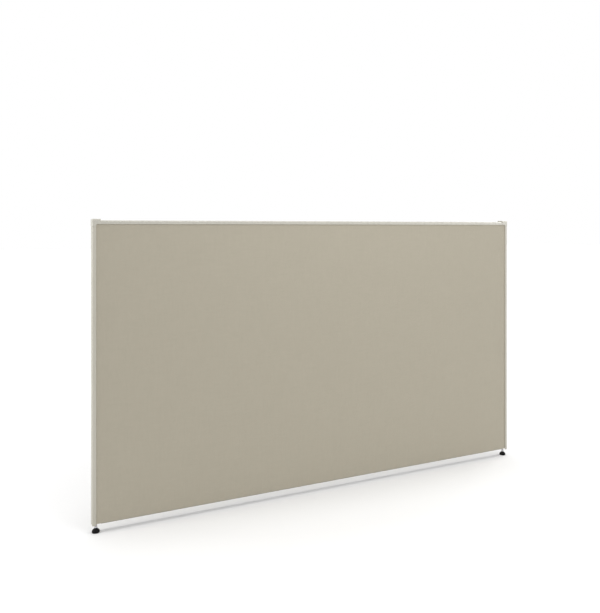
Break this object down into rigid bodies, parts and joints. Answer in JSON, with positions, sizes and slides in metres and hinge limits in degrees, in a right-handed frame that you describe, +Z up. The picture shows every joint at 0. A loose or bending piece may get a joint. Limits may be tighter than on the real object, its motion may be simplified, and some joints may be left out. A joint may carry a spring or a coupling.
{
  "type": "office partition panel",
  "caption": "Straight upholstered screen panel in a slim edge trim with moulded corner caps, standing on adjustable glides that screw in and out to level it.",
  "frame": {"origin": "on the floor, under the middle of the panel's length and thickness", "axes": "+X along the panel, to the right as seen from the front; the front faces -Y; +Z up"},
  "size_m": [1.831, 0.033, 1.067],
  "materials": {
    "trim_paint": "satin powder coat, pale greige",
    "cap_plastic": "fine matt, pale greige",
    "cover_fabric": "flat woven, greige",
    "hardboard": "pressed fibreboard, brown",
    "timber": "planed softwood",
    "core_card": "brown kraft card",
    "strip_card": "grey card",
    "steel_wire": "plain wire",
    "zinc_steel": "bright zinc plate",
    "foot_plastic": "black, fine matt"
  },
  "bodies": {
    "panel": {"left_post": "trim_paint", "right_post": "trim_paint", "top_rail": "trim_paint", "left_corner_cap": "cap_plastic", "right_corner_cap": "cap_plastic", "bottom_batten": "timber", "top_batten": "timber", "left_stile": "timber", "centre_stile": "timber", "right_stile": "timber", "frame_staples": "steel_wire", "left_core": "core_card", "right_core": "core_card", "front_board": "hardboard", "rear_board": "hardboard", "front_fabric": "cover_fabric", "rear_fabric": "cover_fabric", "bottom_strip": "strip_card", "bottom_strip_staples": "steel_wire", "left_glide_insert": "zinc_steel", "right_glide_insert": "zinc_steel"},
    "left_foot": {"left_glide_foot": "foot_plastic"},
    "left_stem": {"left_glide_stem": "zinc_steel"},
    "right_foot": {"right_glide_foot": "foot_plastic"},
    "right_stem": {"right_glide_stem": "zinc_steel"}
  },
  "joints": [
    {"name": "left_glide_travel", "type": "slide", "parent": "panel", "child": "left_foot", "axis": [0, 0, 1], "range_m": [-0.015, 0.009]},
    {"name": "left_stem_turn", "type": "hinge", "parent": "left_foot", "child": "left_stem", "pos_m": [-0.9005, 0, 0.03], "axis": [0, 0, 1], "range_deg": [-4330, 2600]},
    {"name": "right_glide_travel", "type": "slide", "parent": "panel", "child": "right_foot", "axis": [0, 0, 1], "range_m": [-0.015, 0.009]},
    {"name": "right_stem_turn", "type": "hinge", "parent": "right_foot", "child": "right_stem", "pos_m": [0.9005, 0, 0.03], "axis": [0, 0, 1], "range_deg": [-4330, 2600]}
  ],
  "couplings": [
    {"joint": "left_stem_turn", "follows": "left_glide_travel", "rad_per_m": 5026.5},
    {"joint": "right_stem_turn", "follows": "right_glide_travel", "rad_per_m": 5026.5}
  ]
}
